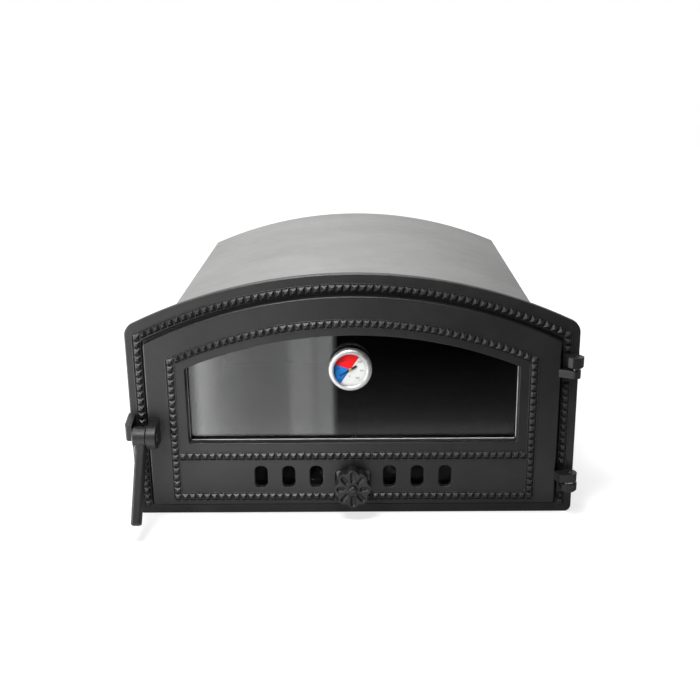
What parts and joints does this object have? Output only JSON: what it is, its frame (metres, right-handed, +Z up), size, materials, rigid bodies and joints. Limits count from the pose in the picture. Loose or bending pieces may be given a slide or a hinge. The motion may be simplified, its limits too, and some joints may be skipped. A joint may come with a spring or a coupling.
{
  "type": "pizza oven",
  "caption": "Built-in pizza oven: arched cast-iron frame and glazed door with beaded edges, dial thermometer, vents, rosette knob, latch, sheet-steel body.",
  "frame": {"origin": "middle of the frame's lower edge, halfway through its thickness, in the plane the oven stands on", "axes": "+X to the right seen from the front, +Y from the front to the back, +Z up"},
  "size_m": [0.5468, 0.6169, 0.3059],
  "materials": {
    "cast": "satin black heat-resistant paint on a fine sand-cast skin",
    "sheet": "fine mill grain, satin",
    "stone": "matt grey fireclay, fine pores",
    "fastener": "plain steel, satin",
    "rope": "matt glass-fibre rope and tape",
    "glass": "clear, polished",
    "lens": "clear, polished",
    "case": "satin",
    "bezel": "bright, finely turned",
    "dial": "matt white with coloured temperature sectors and plain numbers",
    "needle": "matt black",
    "brass": "polished"
  },
  "bodies": {
    "root": {"door_frame": "cast", "oven_shell": "sheet", "floor_plate": "sheet", "back_plate": "sheet", "baking_stone_left": "stone", "baking_stone_right": "stone", "frame_bolts": "fastener", "frame_nuts": "fastener", "hinge_pin_top": "fastener", "hinge_pin_bottom": "fastener", "hinge_washer": "fastener"},
    "door": {"door_leaf": "cast", "door_seal": "rope", "glass_gasket": "rope", "glass_pane": "glass", "glass_clips": "sheet", "clip_screws": "fastener", "slide_guide_upper": "sheet", "slide_guide_lower": "sheet", "guide_screws": "fastener", "thermo_case": "case", "thermo_bezel": "bezel", "thermo_lens": "lens", "thermo_dial": "dial", "thermo_stem": "case", "thermo_washers": "fastener", "thermo_nut": "fastener", "latch_pin": "cast", "latch_clip": "fastener"},
    "lever": {"latch_lever": "cast"},
    "slide": {"air_slide": "sheet", "slide_knob": "cast", "knob_bush": "fastener", "knob_screw": "cast", "knob_nut": "fastener"},
    "needle": {"thermo_needle": "needle", "needle_spindle": "brass"}
  },
  "joints": [
    {"name": "door_swing", "type": "hinge", "parent": "root", "child": "door", "pos_m": [0.2646, -0.014, 0.12], "axis": [0, 0, 1], "range_deg": [0, 120]},
    {"name": "latch_lift", "type": "hinge", "parent": "door", "child": "lever", "pos_m": [-0.253, -0.034, 0.115], "axis": [-1, 0, 0], "range_deg": [0, 95]},
    {"name": "air_slide", "type": "slide", "parent": "door", "child": "slide", "axis": [1, 0, 0], "range_m": [-0.0155, 0.0155]},
    {"name": "needle_turn", "type": "hinge", "parent": "door", "child": "needle", "pos_m": [-0.002, -0.005, 0.19], "axis": [0, 1, 0], "range_deg": [-13, 263], "stiffness_Nm_per_rad": 0.0005}
  ]
}
